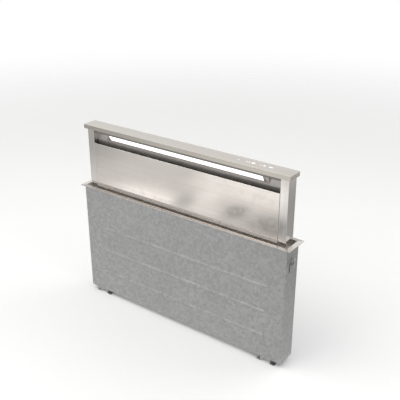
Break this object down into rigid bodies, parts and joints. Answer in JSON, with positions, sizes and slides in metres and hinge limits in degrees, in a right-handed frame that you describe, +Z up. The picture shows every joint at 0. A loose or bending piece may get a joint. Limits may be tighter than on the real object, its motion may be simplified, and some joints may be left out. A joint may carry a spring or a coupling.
{
  "type": "downdraft vent",
  "caption": "Worktop downdraft vent: a lift tower with a lit intake slot under its cap, screw drive, blower and duct outlet below a flush flange.",
  "frame": {"origin": "centre of the worktop opening, on the worktop's top face, under the flange", "axes": "+X along the vent to the side with the touch keys, +Y to its back, away from the hob, +Z up, along the tower's travel"},
  "size_m": [0.9, 0.2399, 0.6935],
  "materials": {
    "brushed_stainless": "brushed, warm satin",
    "galvanised_sheet": "zinc-coated sheet",
    "filter_aluminium": "expanded mesh, satin frame",
    "machined_steel": "machined",
    "pulley_aluminium": "machined",
    "black_painted_steel": "satin",
    "black_rubber": "matt",
    "white_acetal": "moulded",
    "black_plastic": "moulded",
    "grey_plastic": "moulded",
    "light_diffuser": "frosted, lit from behind",
    "circuit_board": "solder mask",
    "pinion_brass": "brass, machined"
  },
  "bodies": {
    "housing": {"worktop_flange": "brushed_stainless", "wiper_seal": "black_rubber", "housing_shell": "galvanised_sheet", "housing_back": "galvanised_sheet", "housing_bottom": "galvanised_sheet", "guide_rail_left": "machined_steel", "guide_rail_right": "machined_steel", "screw_bearing_left": "black_plastic", "screw_bearing_right": "black_plastic", "timing_belt": "black_rubber", "drive_carrier": "galvanised_sheet", "lift_motor": "black_painted_steel", "limit_switch_raised": "black_plastic", "limit_switch_lowered": "black_plastic", "blower_front_plate": "galvanised_sheet", "blower_wrap": "galvanised_sheet", "blower_back_plate": "galvanised_sheet", "blower_motor": "black_painted_steel", "outlet_transition": "galvanised_sheet", "control_box": "galvanised_sheet", "control_cover": "galvanised_sheet", "control_board": "circuit_board", "cable_gland": "black_plastic", "worktop_clamp_left": "galvanised_sheet", "worktop_clamp_right": "galvanised_sheet", "clamp_screw_left": "machined_steel", "clamp_screw_right": "machined_steel", "foot_left": "galvanised_sheet", "foot_right": "galvanised_sheet"},
    "tower": {"column_left": "brushed_stainless", "column_right": "brushed_stainless", "front_panel": "brushed_stainless", "back_panel": "brushed_stainless", "top_cap": "brushed_stainless", "top_rail": "galvanised_sheet", "touch_board": "circuit_board", "light_bar": "brushed_stainless", "led_diffuser": "light_diffuser", "led_board": "circuit_board", "grease_filter_left": "filter_aluminium", "grease_filter_right": "filter_aluminium", "grease_tray": "brushed_stainless", "lower_rail": "galvanised_sheet", "guide_shoe_left": "white_acetal", "guide_shoe_right": "white_acetal", "lift_nut_left": "white_acetal", "lift_nut_right": "white_acetal"},
    "screw_right": {"lead_screw_right": "machined_steel", "screw_pulley_right": "pulley_aluminium", "drive_gear": "white_acetal"},
    "screw_left": {"lead_screw_left": "machined_steel", "screw_pulley_left": "pulley_aluminium"},
    "pinion": {"motor_pinion": "pinion_brass"},
    "impeller": {"impeller": "black_plastic"},
    "flap_front": {"damper_flap_front": "grey_plastic"},
    "flap_back": {"damper_flap_back": "grey_plastic"}
  },
  "joints": [
    {"name": "tower_lift", "type": "slide", "parent": "housing", "child": "tower", "axis": [0, 0, 1], "range_m": [-0.238, 0]},
    {"name": "screw_right_spin", "type": "hinge", "parent": "housing", "child": "screw_right", "pos_m": [0.40525, 0.004, -0.36], "axis": [0, 0, 1], "range_deg": [-1, 2857]},
    {"name": "screw_left_spin", "type": "hinge", "parent": "housing", "child": "screw_left", "pos_m": [-0.40525, 0.004, -0.36], "axis": [0, 0, 1], "range_deg": [-1, 2857]},
    {"name": "pinion_spin", "type": "hinge", "parent": "housing", "child": "pinion", "pos_m": [0.37275, 0.004, -0.36], "axis": [0, 0, 1], "range_deg": [-6427, 1]},
    {"name": "impeller_spin", "type": "hinge", "parent": "housing", "child": "impeller", "pos_m": [0.04, 0.08, -0.235], "axis": [0, 1, 0], "continuous": true},
    {"name": "flap_front_swing", "type": "hinge", "parent": "housing", "child": "flap_front", "pos_m": [-0.2043, 0.1143, -0.3405], "axis": [0, 0, -1], "range_deg": [0, 75], "stiffness_Nm_per_rad": 0.02, "springref_deg": -11.46},
    {"name": "flap_back_swing", "type": "hinge", "parent": "housing", "child": "flap_back", "pos_m": [-0.2043, 0.1223, -0.3405], "axis": [0, 0, 1], "range_deg": [0, 75], "stiffness_Nm_per_rad": 0.02, "springref_deg": -11.46}
  ],
  "couplings": [
    {"joint": "screw_right_spin", "follows": "tower_lift", "rad_per_m": -209.44},
    {"joint": "screw_left_spin", "follows": "tower_lift", "rad_per_m": -209.44},
    {"joint": "pinion_spin", "follows": "tower_lift", "rad_per_m": 471.24}
  ]
}
